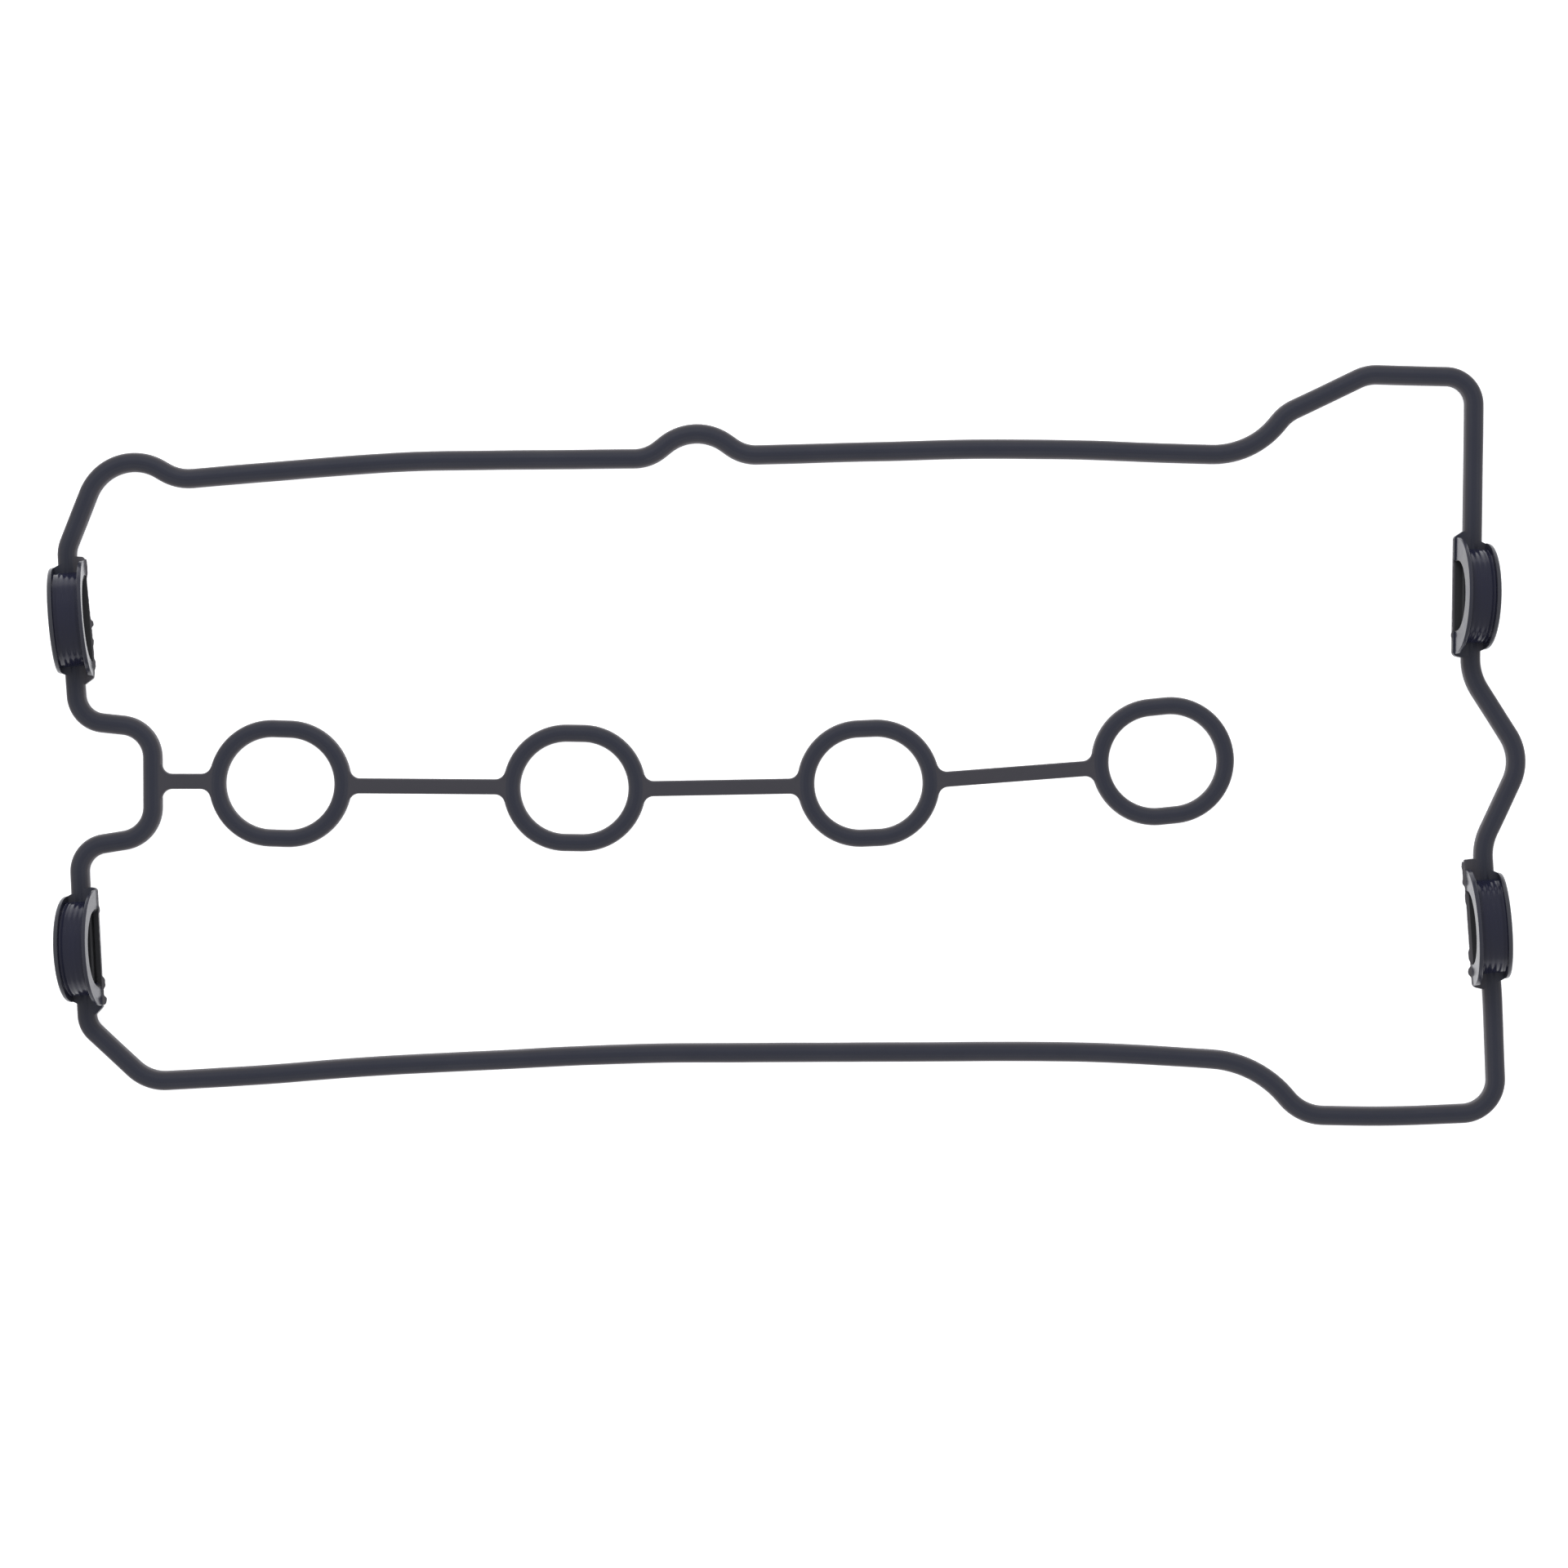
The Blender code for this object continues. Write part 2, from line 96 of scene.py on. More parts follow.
# Half-moon plugs
JOINT_PLANE = 4.82
FACE_OFFSET = 4.65
FLANGE_RADIUS = 15.8
FLANGE_THICKNESS = 1.0
FLANGE_ROUND = 0.22
BARREL_RADIUS = 12.7
BARREL_WIDTH = 6.95
BARREL_ROUND = 0.25
RIB_COUNT = 4
RIB_PITCH = 1.45
RIB_HEIGHT = 0.09
LIP_RADIUS = 14.4
LIP_THICKNESS = 1.25
LIP_INNER_ROUND = 0.15
LIP_OUTER_ROUND = 0.75
SKIRT = 1.2
OUTER_FACE = FLANGE_THICKNESS + BARREL_WIDTH + LIP_THICKNESS - FACE_OFFSET
POCKET_RADIUS = 9.4
POCKET_WALL = 1.5
POCKET_DEPTH = 5.65
POCKET_FLOOR = 0.8
POCKET_RIM = 0.3
BACK_ROUND = 1.0
BACK_INSET = 0.1
FLOOR_STEP = 0.65
FLOOR_STEP_ROUND = 0.6

# Plinths under the plugs
OVERHANG = 0.4
LIP_INSET = 0.35
PLINTH_DROP = 0.1
PLINTH_THICKNESS = 2.2
OUTER_TAPER = 0.8
PLINTH_ROUND = 0.18
NECK_ROUND = 0.1
OUTER_ROUND = 0.9

# Mould flash: its root inside the plinth, thickness, depth and reach, and the rates and
# share of its coarse and fine raggedness
FLASH_SETBACK = 0.6
FLASH_ROOT = 0.5
FLASH_THICKNESS = 0.35
FLASH_DROP = 0.1
FLASH_REACH = 0.16
FLASH_INSET = 0.02
FLASH_STEPS = 150
COARSE_RATE = 0.9
FINE_RATE = 2.7
FINE_SHARE = 0.35
FINE_ROW = 4.0
PHASE_RANGE = 50

# Painted highlight on the plugs' rims and painted glare in their pockets: shares, bands beside
# the edges and room for rounding
LIP_HIGHLIGHT = 0.5
LIP_HIGHLIGHT_RISE = 0.2
LIP_BAND = 1.4
FLANGE_HIGHLIGHT = 0.3
FLANGE_BAND = 0.15
HIGHLIGHT_FOOT = 0.3
FLANGE_MARGIN = 0.2
FACE_MARGIN = 0.2
BACK_MARGIN = 0.1
MARGIN = 0.05

# Fineness
BEND_STEP = 4.0
RING_STEP = 3.0
CORNER_STEP = 30.0
FINE_CORNER_STEP = 22.5
RUN_STEP = 4.0
PLUG_STEPS = 90
PLINTH_STEP = 15.0
PLINTH_SEGMENTS = 2
RIB_POINTS = 8
FILLET_STEPS = 12
MOUTH_STEPS = 6
RISE_START = 1.4
RISE_PITCH = 0.15
RISE_POINTS = 12
BACK_STEPS = 4
MERGE = 0.0005
SPIN_MERGE = 0.001
LEVEL_SLACK = 1e-4
SLIVER = 0.005
SHARP_ANGLE = 38

# Bends of the rim: x, y, radius
OUTLINE = (
    (-195.2, 63.9, 8.9),
    (-183.5, 93.6, 13.5),
    (-165.0, 82.9, 12.9),
    (-104.7, 87.9, 444.0),
    (-37.0, 88.6, 11.3),
    (-24.2, 98.8, 13.6),
    (-11.2, 89.5, 11.3),
    (63.5, 91.6, 755.0),
    (127.0, 89.3, 22.2),
    (136.5, 100.9, 11.6),
    (158.6, 111.5, 11.6),
    (187.7, 110.7, 7.6),
    (186.6, 29.6, 15.6),
    (200.9, 7.2, 13.1),
    (189.8, -16.2, 15.6),
    (192.6, -57.3, 66.0),
    (193.8, -89.2, 9.3),
    (163.3, -90.4, 422.0),
    (140.6, -90.0, 12.9),
    (128.5, -75.5, 28.4),
    (82.6, -72.6, 600.0),
    (-43.8, -73.2, 1000.0),
    (-115.5, -76.9, 888.0),
    (-141.1, -79.1, 444.0),
    (-173.0, -80.8, 12.2),
    (-189.5, -65.6, 6.7),
    (-192.0, -17.2, 7.6),
    (-171.8, -14.0, 9.1),
    (-171.8, 15.3, 8.9),
    (-192.1, 17.4, 7.8),
)
NARROW_END = -1
WIDE_END = 1

# Each plug stands at a height of one end, leans and is twisted by an angle, and has a
# ledge in front of its face. The draft brings the face's foot forward, and the mouth
# rounds its pocket. Tapers, extras and corners shape the plinth towards -Y and +Y.
PLUGS = (
    {
        "name": "upper_left",
        "end": NARROW_END,
        "height": 44.7,
        "lean": -5.5,
        "twist": 0.8,
        "ledge": 0.4,
        "draft": 0.35,
        "mouth": 2.3,
        "tapers": (1.6, 0.3),
        "extras": (0.0, 0.6),
        "corners": (0.8, 0.8),
    },
    {
        "name": "upper_right",
        "end": WIDE_END,
        "height": 51.1,
        "lean": 3.1,
        "twist": 0.0,
        "ledge": 0.45,
        "draft": 0.0,
        "mouth": 0.3,
        "tapers": (0.5, 1.7),
        "extras": (0.0, -0.2),
        "corners": (1.4, 1.1),
    },
    {
        "name": "lower_right",
        "end": WIDE_END,
        "height": -38.6,
        "lean": -3.8,
        "twist": 0.0,
        "ledge": 0.72,
        "draft": 0.58,
        "mouth": 0.6,
        "tapers": (0.8, 0.1),
        "extras": (0.0, 2.3),
        "corners": (1.2, 0.5),
    },
    {
        "name": "lower_left",
        "end": NARROW_END,
        "height": -44.6,
        "lean": 3.0,
        "twist": 0.0,
        "ledge": -0.12,
        "draft": -0.18,
        "mouth": 2.0,
        "tapers": (1.9, 0.3),
        "extras": (0.0, 0.0),
        "corners": (0.8, 1.0),
    },
)

# Mould flash along each ledge: place along Y from the plug's middle, reach, half width
FLASH = {
    "upper_left": (
        (14.2, 0.45, 2.8),
        (-1.4, 0.6, 0.9),
        (-4.0, 0.15, 11.0),
        (-7.0, 0.2, 7.0),
        (-6.4, 0.2, 0.7),
        (-12.6, 0.35, 1.3),
    ),
    "upper_right": ((-10.7, 0.3, 0.8),),
    "lower_right": (
        (14.6, 0.5, 3.6),
        (17.2, 0.2, 1.2),
        (12.2, 0.25, 0.8),
        (8.0, 0.25, 1.6),
        (-7.6, 0.4, 1.5),
        (-12.1, 0.75, 1.2),
    ),
    "lower_left": ((10.3, 0.35, 1.0), (-9.5, 0.8, 1.5), (-12.2, 0.3, 2.0), (-14.5, 0.9, 1.2)),
}

# Colours of the rubber, with painted shade, sheen, reflection, highlight and glare among them,
# and the heights between which one goes over into the next
SIDE_DARK = (0.0245, 0.0263, 0.0368, 1.0)
SIDE_LIGHT = (0.0305, 0.0318, 0.0424, 1.0)
# Painted shade: the bead's crest is darker, standing in for the dark overhead it reflects
CREST_SHADE_COLOUR = (0.0185, 0.0208, 0.0325, 1.0)
CREST_HEIGHTS = (4.8, 4.94)
CREST_SHADE_SHARE = 0.75
# Partly dust, partly painted sheen: the low rounded edges of the bead and the webs are lighter
SHEEN_AND_DUST_COLOUR = (0.047, 0.0448, 0.0505, 1.0)
SHEEN_AND_DUST_HEIGHTS = (4.66, 4.44)
# Partly dust, partly painted sheen: the outermost rounds are lighter still
EDGE_SHEEN_AND_DUST_COLOUR = (0.115, 0.111, 0.117, 1.0)
EDGE_SHEEN_AND_DUST_HEIGHTS = (4.42, 4.2)
# Partly the plugs' own tone, partly painted reflection: darker and bluer, standing in for the
# dark bluish overhead they reflect
PLUG_TONE_AND_REFLECTION_COLOUR = (0.0105, 0.0115, 0.0265, 1.0)
PLUG_HEIGHTS = (5.0, 6.0)
# Painted highlight on the rims of the plugs' lips and flanges
RIM_HIGHLIGHT_COLOUR = (0.062, 0.063, 0.066, 1.0)
# Painted light: the insides of the pockets are lighter, standing in for glare in them
POCKET_GLARE_COLOUR = (0.033, 0.034, 0.036, 1.0)

# Values of the noise between which the mottling and the haze run
MOTTLE_RANGE = (0.3, 0.72)
HAZE_RANGE = (0.3, 0.7)

# Gloss of the rubber
BEAD_ROUGHNESS = 0.42
PLUG_ROUGHNESS = 0.22
HAZE = 0.03
SPECULAR_LEVEL = 0.25

# Places of the colour sockets on a Mix node
MIX_FIRST = 6
MIX_SECOND = 7
MIX_RESULT = 2

# Studio: floor and lamps in metres and watts, sky from the horizon's side to overhead
WHITE = (1.0, 1.0, 1.0, 1.0)
FLOOR_SIZE = 3.0
FLOOR_DROP = 0.0001
FLOOR_LEVEL = 0.8
FLOOR_PAINT = (FLOOR_LEVEL, FLOOR_LEVEL, FLOOR_LEVEL, 1.0)
SKY = ((0.15, (1.0, 1.0, 1.03, 1.0)), (0.85, (0.36, 0.36, 0.42, 1.0)))
LAMP_SIZE = 0.9
LAMPS = (
    ("far_softbox", (-0.25, 1.3, 1.0), 18.0),
    ("near_softbox", (0.4, -1.4, 1.2), 6.0),
)

# The camera looks straight down; its distance and view give the photograph's frame
CAMERA_SPOT = Vector((-1.184, -10.54, 958.5))
SENSOR = 36.0
LENS = 80.6


def rounded(bends, step, closed=True, run=None):
    """Points along a polygon whose corners are replaced by arcs of their radius."""
    points = []
    count = len(bends)
    for index, (x, y, radius) in enumerate(bends):
        corner = Vector((x, y))
        open_end = not closed and index in (0, count - 1)
        if open_end or radius == 0:
            points.append(corner)
            continue
        back = Vector(bends[index - 1][:2]) - corner
        ahead = Vector(bends[(index + 1) % count][:2]) - corner
        turn = math.pi - back.angle(ahead)
        reach = radius * math.tan(turn / 2)
        half = (back.normalized() + ahead.normalized()).normalized()
        centre = corner + half * (radius / math.cos(turn / 2))
        start = corner + back.normalized() * reach - centre
        end = corner + ahead.normalized() * reach - centre
        sweep = start.angle_signed(end)
        pieces = max(1, math.ceil(math.degrees(turn) / step))
        if run:
            pieces = max(pieces, math.ceil(radius * turn / run))
        for piece in range(pieces + 1):
            spoke = start.copy()
            spoke.rotate(Matrix.Rotation(-sweep * piece / pieces, 2))
            points.append(centre + spoke)
    return points


def with_runs(points, run):
    """Split long straights of a closed line into even pieces."""
    result = []
    for index, point in enumerate(points):
        ahead = points[(index + 1) % len(points)]
        pieces = max(1, math.ceil((ahead - point).length / run))
        result += [point.lerp(ahead, piece / pieces) for piece in range(pieces)]
    return result


def bead_section(width):
    """Section of the bead: tongue, flange with round shoulders, domed top and rib."""
    half = width / 2
    tongue = TONGUE_WIDTH / 2
    right = [
        (tongue - TONGUE_TAPER, 0.0, TONGUE_ROUND),
        (tongue, FLANGE_BOTTOM, TONGUE_ROUND),
        (half, FLANGE_BOTTOM, TONGUE_ROUND),
        (half, SHOULDER - SHOULDER_DROP, SHOULDER_ROUND),
        (CROWN_HALF_WIDTH, SHOULDER, CROWN_ROUND),
        (CREST_HALF_WIDTH, BEAD_HEIGHT - CREST_DROP, CREST_ROUND),
    ]
    left = [(-x, z, radius) for x, z, radius in reversed(right)]
    return rounded(right + left, CORNER_STEP)


def make_object(name, bm):
    """Turn a bmesh in millimetres into an object in metres."""
    bmesh.ops.remove_doubles(bm, verts=bm.verts, dist=MERGE)
    bmesh.ops.recalc_face_normals(bm, faces=bm.faces)
    bmesh.ops.scale(bm, vec=(MM, MM, MM), verts=bm.verts)
    mesh = bpy.data.meshes.new(name)
    bm.to_mesh(mesh)
    bm.free()
    item = bpy.data.objects.new(name, mesh)
    bpy.context.scene.collection.objects.link(item)
    return item


def sweep(name, path, section, wave=0.0):
    """Sweep a section along a closed line that lies flat, with a slight waviness."""
    bm = bmesh.new()
    count = len(path)
    rows = []
    for index, point in enumerate(path):
        back = (point - path[index - 1]).normalized()
        ahead = (path[(index + 1) % count] - point).normalized()
        along = (back + ahead).normalized()
        across = Vector((-along.y, along.x))
        spot = Vector((point.x, point.y, 0.0)) / WAVE_LENGTH
        drift = wave * noise.noise(spot)
        swell = 1.0 + wave * SWELL_SHARE * noise.noise(spot * SWELL_RATE + SWELL_SPOT)
        row = []
        for u, z in section:
            place = point + across * (u * swell + drift)
            row.append(bm.verts.new((place.x, place.y, z)))
        rows.append(row)
    size = len(section)
    for index in range(count):
        near, far = rows[index], rows[(index + 1) % count]
        for k in range(size):
            bm.faces.new((near[k], near[(k + 1) % size], far[(k + 1) % size], far[k]))
    return make_object(name, bm)


def rim_at(end, height):
    """Spot and direction of the rim's centre line where one end passes a height."""
    spots = []
    for index, bend in enumerate(OUTLINE):
        low = Vector(OUTLINE[index - 1][:2])
        high = Vector(bend[:2])
        if low.y > high.y:
            low, high = high, low
        if low.y <= height < high.y and low.x * end > 0:
            spot = low.lerp(high, (height - low.y) / (high.y - low.y))
            spots.append((spot.x * end, spot, (high - low).normalized()))
    return max(spots, key=lambda found: found[0])[1:]


def ring_place(index):
    """Centre and long axis of one ring."""
    centre = Vector((FIRST_RING_X + index * RING_PITCH, RING_SHIFT[index]))
    tilt = math.radians(RING_TILT[index])
    return centre, Vector((math.cos(tilt), math.sin(tilt)))


def ring_outline(index):
    """Two half circles joined by short straights."""
    centre, axis = ring_place(index)
    across = axis.orthogonal()
    steps = round(180 / RING_STEP)
    points = []
    for end in (1, -1):
        middle = centre + axis * (end * RING_STRAIGHT / 2)
        for step in range(steps + 1):
            angle = math.radians(-90 + step * 180 / steps)
            spoke = axis * math.cos(angle) + across * math.sin(angle)
            points.append(middle + spoke * (end * RING_RADIUS))
    return points


def flare(tip, direction, side, arc_centre, arc_radius, depth):
    """Fillet from one edge of a web to the round end of a ring."""
    across = direction.orthogonal() * side
    local = arc_centre - tip
    offset = WEB_WIDTH / 2 + WEB_FILLET
    reach = arc_radius + WEB_FILLET
    along = local.dot(direction) + math.sqrt(reach ** 2 - (offset - local.dot(across)) ** 2)
    centre = tip + direction * along + across * offset
    to_ring = (arc_centre - centre).normalized()
    start = -across
    turn = start.angle(to_ring)
    points = []
    for step in range(FILLET_STEPS + 1):
        angle = turn * step / FILLET_STEPS
        spoke = start * math.cos(angle) - direction * math.sin(angle)
        points.append(centre + spoke * WEB_FILLET)
    points.append(arc_centre - to_ring * (arc_radius - depth))
    return points


def wall_flare(tip, direction, side, depth):
    """Fillet from one edge of a web to the straight end wall."""
    across = direction.orthogonal() * side
    start = tip + direction * (BEAD_WIDTH / 2 + WEB_FILLET)
    centre = start + across * (WEB_WIDTH / 2 + WEB_FILLET)
    points = []
    for step in range(FILLET_STEPS + 1):
        angle = math.radians(90 * step / FILLET_STEPS)
        spoke = -across * math.cos(angle) - direction * math.sin(angle)
        points.append(centre + spoke * WEB_FILLET)
    points.append(points[-1] - direction * depth)
    return points


def slab(name, outline, bottom, top, top_round, foot_round, segments=4):
    """Flat plate with rounded rims."""
    bm = bmesh.new()
    face = bm.faces.new([bm.verts.new((p[0], p[1], bottom)) for p in outline])
    grown = bmesh.ops.extrude_face_region(bm, geom=[face])
    upper = [item for item in grown["geom"] if isinstance(item, bmesh.types.BMVert)]
    bmesh.ops.translate(bm, vec=(0, 0, top - bottom), verts=upper)
    for size, level in ((top_round, top), (foot_round, bottom)):
        if size:
            rim = []
            for edge in bm.edges:
                if all(abs(vert.co.z - level) < LEVEL_SLACK for vert in edge.verts):
                    rim.append(edge)
            bmesh.ops.bevel(
                bm,
                geom=rim,
                offset=size,
                segments=segments,
                profile=0.5,
                affect="EDGES",
            )
    return make_object(name, bm)


def ring_end(index, side):
    """Tip of a ring on its long axis and the centre of its round end."""
    centre, axis = ring_place(index)
    middle = centre + axis * (side * RING_STRAIGHT / 2)
    return middle + axis * (side * RING_RADIUS), middle


def webs():
    """Webs from the end wall through the chain of rings."""
    made = []
    bottom = WEB_TOP - WEB_THICKNESS
    depth = RING_BEAD_WIDTH / 2
    for index in range(len(RING_SHIFT)):
        right_tip, right_centre = ring_end(index, -1)
        if index:
            left_tip, left_centre = ring_end(index - 1, 1)
        else:
            left_tip, left_centre = rim_at(NARROW_END, right_tip.y)[0], None
        ahead = (right_tip - left_tip).normalized()
        outline = []
        ends = ((left_tip, left_centre, ahead), (right_tip, right_centre, -ahead))
        for tip, centre, way in ends:
            sides = []
            for side in (1, -1):
                if centre is None:
                    sides.append(wall_flare(tip, way, side, BEAD_WIDTH / 2))
                else:
                    sides.append(flare(tip, way, side, centre, RING_OUTER_RADIUS, depth))
            outline += sides[0] + sides[1][::-1]
        name = f"web_{index + 1}"
        made.append(slab(name, outline, bottom, WEB_TOP, WEB_TOP_ROUND, WEB_FOOT_ROUND))
    return made


def plug_profile():
    """Radii of a plug along its axis, with small rounds on every edge."""
    inner = -FACE_OFFSET
    barrel = inner + FLANGE_THICKNESS
    lip = barrel + BARREL_WIDTH
    bends = [
        (inner, 0.0, 0),
        (inner, FLANGE_RADIUS, FLANGE_ROUND),
        (barrel, FLANGE_RADIUS, FLANGE_ROUND),
        (barrel, BARREL_RADIUS, BARREL_ROUND),
    ]
    first = barrel + (BARREL_WIDTH - RIB_COUNT * RIB_PITCH) / 2
    for step in range(RIB_COUNT * RIB_POINTS + 1):
        height = RIB_HEIGHT * (1 - math.cos(2 * math.pi * step / RIB_POINTS)) / 2
        bends.append((first + step * RIB_PITCH / RIB_POINTS, BARREL_RADIUS + height, 0))
    bends += [
        (lip, BARREL_RADIUS, BARREL_ROUND),
        (lip, LIP_RADIUS, LIP_INNER_ROUND),
        (OUTER_FACE, LIP_RADIUS, LIP_OUTER_ROUND),
        (OUTER_FACE, 0.0, 0),
    ]
    return rounded(bends, FINE_CORNER_STEP, closed=False)


def half_moon(name, draft):
    """Turn the profile through half a circle, give it a flat foot and slope its face."""
    bm = bmesh.new()
    verts = [bm.verts.new((x, -radius, 0.0)) for x, radius in plug_profile()]
    edges = [bm.edges.new(pair) for pair in zip(verts, verts[1:])]
    bmesh.ops.spin(
        bm,
        geom=verts + edges,
        cent=(0, 0, 0),
        axis=(1, 0, 0),
        angle=-math.pi,
        steps=PLUG_STEPS,
        use_duplicate=False,
    )
    bmesh.ops.remove_doubles(bm, verts=bm.verts, dist=SPIN_MERGE)
    rim = [edge for edge in bm.edges if edge.is_boundary]
    grown = bmesh.ops.extrude_edge_only(bm, edges=rim)["geom"]
    lower = [item for item in grown if isinstance(item, bmesh.types.BMVert)]
    bmesh.ops.translate(bm, vec=(0, 0, -SKIRT), verts=lower)
    foot = [item for item in grown if isinstance(item, bmesh.types.BMEdge)]
    bmesh.ops.contextual_create(bm, geom=foot)
    for vert in bm.verts:
        if vert.co.x < FLANGE_THICKNESS / 2 - FACE_OFFSET:
            vert.co.x -= draft * (1 - max(0.0, vert.co.z) / FLANGE_RADIUS)
    return make_object(name, bm)


def plinth(name, ledge, tapers, extras, corners):
    """Foot of a plug: a ledge in front of its flange that tapers into the bead."""
    inner = -FACE_OFFSET - ledge
    outer = OUTER_FACE - LIP_INSET
    low_half, high_half = (FLANGE_RADIUS + OVERHANG + extra for extra in extras)
    short_half = LIP_RADIUS - LIP_INSET
    neck = BEAD_WIDTH / 2 - PLINTH_DROP
    bends = [
        (inner, -low_half, corners[0]),
        (-neck, -low_half - tapers[0], NECK_ROUND),
        (neck, -short_half - OUTER_TAPER, NECK_ROUND),
        (outer, -short_half, OUTER_ROUND),
        (outer, short_half, OUTER_ROUND),
        (neck, short_half + OUTER_TAPER, NECK_ROUND),
        (-neck, high_half + tapers[1], NECK_ROUND),
        (inner, high_half, corners[1]),
    ]
    outline = rounded(bends, PLINTH_STEP)
    top = -PLINTH_DROP
    bottom = top - PLINTH_THICKNESS
    return slab(name, outline, bottom, top, PLINTH_ROUND, PLINTH_ROUND, PLINTH_SEGMENTS)


def floor_at(x):
    """Depth of a pocket's floor: the ledge lies lower than the bead behind it."""
    rise = (x + BEAD_WIDTH / 2) / FLOOR_STEP_ROUND
    if rise <= 0:
        return POCKET_FLOOR
    rise = min(1.0, rise)
    return POCKET_FLOOR - FLOOR_STEP * math.sqrt(1 - (1 - rise) ** 2)


def arch(radius, floor, steps=PLUG_STEPS):
    """Half circle on two short walls, closed by a flat floor, as (y, z) pairs."""
    points = [(-radius, -floor), (radius, -floor)]
    for step in range(steps + 1):
        angle = math.pi * step / steps
        points.append((radius * math.cos(angle), POCKET_WALL + radius * math.sin(angle)))
    return points


def loft(name, stations):
    """Join outlines of equal length, each at its own x, and close both ends."""
    bm = bmesh.new()
    rows = [[bm.verts.new((x, y, z)) for y, z in outline] for x, outline in stations]
    size = len(rows[0])
    for near, far in zip(rows, rows[1:]):
        for k in range(size):
            bm.faces.new((near[k], near[(k + 1) % size], far[(k + 1) % size], far[k]))
    bm.faces.new(rows[0])
    bm.faces.new(rows[-1])
    return make_object(name, bm)


def pocket(name, ledge, mouth_round):
    """Arched hollow with a round mouth, a stepped floor and a round back."""
    face = -FACE_OFFSET
    back = face + POCKET_DEPTH
    spots = [(face - max(0.0, ledge) - POCKET_RIM, POCKET_RADIUS + mouth_round)]
    for step in range(MOUTH_STEPS + 1):
        turn = math.pi / 2 * step / MOUTH_STEPS
        radius = POCKET_RADIUS + mouth_round * (1 - math.sin(turn))
        spots.append((face + mouth_round * (1 - math.cos(turn)), radius))
    for step in range(RISE_POINTS):
        spots.append((face + RISE_START + RISE_PITCH * step, POCKET_RADIUS))
    for step in range(BACK_STEPS + 1):
        turn = math.pi / 2 * step / BACK_STEPS
        spot = back - BACK_ROUND * (1 - math.sin(turn))
        radius = POCKET_RADIUS - BACK_INSET - BACK_ROUND * (1 - math.cos(turn))
        spots.append((spot, radius))
    return loft(name, [(x, arch(radius, floor_at(x))) for x, radius in spots])


def flash(name, ledge, extras, bumps, end, source):
    """Thin ragged edge that the mould left along a plug's ledge."""
    inner = -FACE_OFFSET - ledge
    low, high = (FLANGE_RADIUS + OVERHANG + extra - FLASH_SETBACK for extra in extras)
    outline = [(inner + FLASH_ROOT, high), (inner + FLASH_ROOT, -low)]
    phase = source.uniform(0, PHASE_RANGE)
    for step in range(FLASH_STEPS + 1):
        along = -low + (low + high) * step / FLASH_STEPS
        rough = 0.5 + 0.5 * noise.noise(Vector((along * COARSE_RATE + phase, 0.0, 0.0)))
        fine = noise.noise(Vector((along * FINE_RATE + phase, FINE_ROW, 0.0)))
        reach = FLASH_REACH * max(0.0, rough + FINE_SHARE * fine)
        for spot, size, width in bumps:
            reach += size * math.exp(-(((along * end - spot) / width) ** 4))
        outline.append((inner - reach + FLASH_INSET, along))
    top = -POCKET_FLOOR - FLASH_DROP
    return slab(name, outline, top - FLASH_THICKNESS, top, 0, 0)


def plug_place(end, height, lean, twist):
    """Where a plug stands on the rim, as a matrix in metres."""
    spot, along = rim_at(end, height)
    yaw = math.atan2(-along.x, along.y) + math.radians(twist)
    if end == NARROW_END:
        yaw += math.pi
    place = Matrix.Translation((spot.x * MM, spot.y * MM, JOINT_PLANE * MM))
    turn = Matrix.Rotation(yaw, 4, "Z")
    tip = Matrix.Rotation(math.radians(lean), 4, "Y")
    return place @ turn @ tip


def combine(item, others, operation, name):
    """Join or cut other closed shapes, apply the result and drop the others."""
    group = bpy.data.collections.new(name)
    bpy.context.scene.collection.children.link(group)
    for other in others:
        bpy.context.scene.collection.objects.unlink(other)
        group.objects.link(other)
    modifier = item.modifiers.new(name, "BOOLEAN")
    modifier.operation = operation
    modifier.operand_type = "COLLECTION"
    modifier.collection = group
    modifier.solver = "MANIFOLD"
    bpy.context.view_layer.update()
    depsgraph = bpy.context.evaluated_depsgraph_get()
    mesh = bpy.data.meshes.new_from_object(item.evaluated_get(depsgraph))
    item.modifiers.clear()
    item.data = mesh
    for other in others:
        bpy.data.objects.remove(other, do_unlink=True)
    bpy.data.collections.remove(group)


def rim_highlight_share(spot):
    """How much painted highlight a point of a plug gets: most on its lip's rim, and a little on
    its flange's rim.
    """
    radius = math.hypot(spot.y, spot.z)
    lip = OUTER_FACE - LIP_THICKNESS
    flange = FLANGE_THICKNESS - FACE_OFFSET
    if spot.z < HIGHLIGHT_FOOT or radius > FLANGE_RADIUS + FLANGE_MARGIN:
        return 0.0
    if lip - MARGIN < spot.x and radius > LIP_RADIUS - LIP_BAND:
        return min(1.0, LIP_HIGHLIGHT + LIP_HIGHLIGHT_RISE * (spot.x - lip) / LIP_THICKNESS)
    if spot.x < flange + MARGIN and radius > FLANGE_RADIUS - FLANGE_BAND:
        return FLANGE_HIGHLIGHT
    return 0.0


def in_pocket(spot):
    """Whether the middle of a face lies inside a plug's pocket."""
    face = -FACE_OFFSET
    if not face - FACE_MARGIN < spot.x < face + POCKET_DEPTH + BACK_MARGIN:
        return False
    if spot.z < -POCKET_FLOOR - MARGIN:
        return False
    radius = POCKET_RADIUS + 2 * max(0.0, 1 + face - spot.x)
    above = max(0.0, spot.z - POCKET_WALL)
    return math.hypot(spot.y, above) < radius


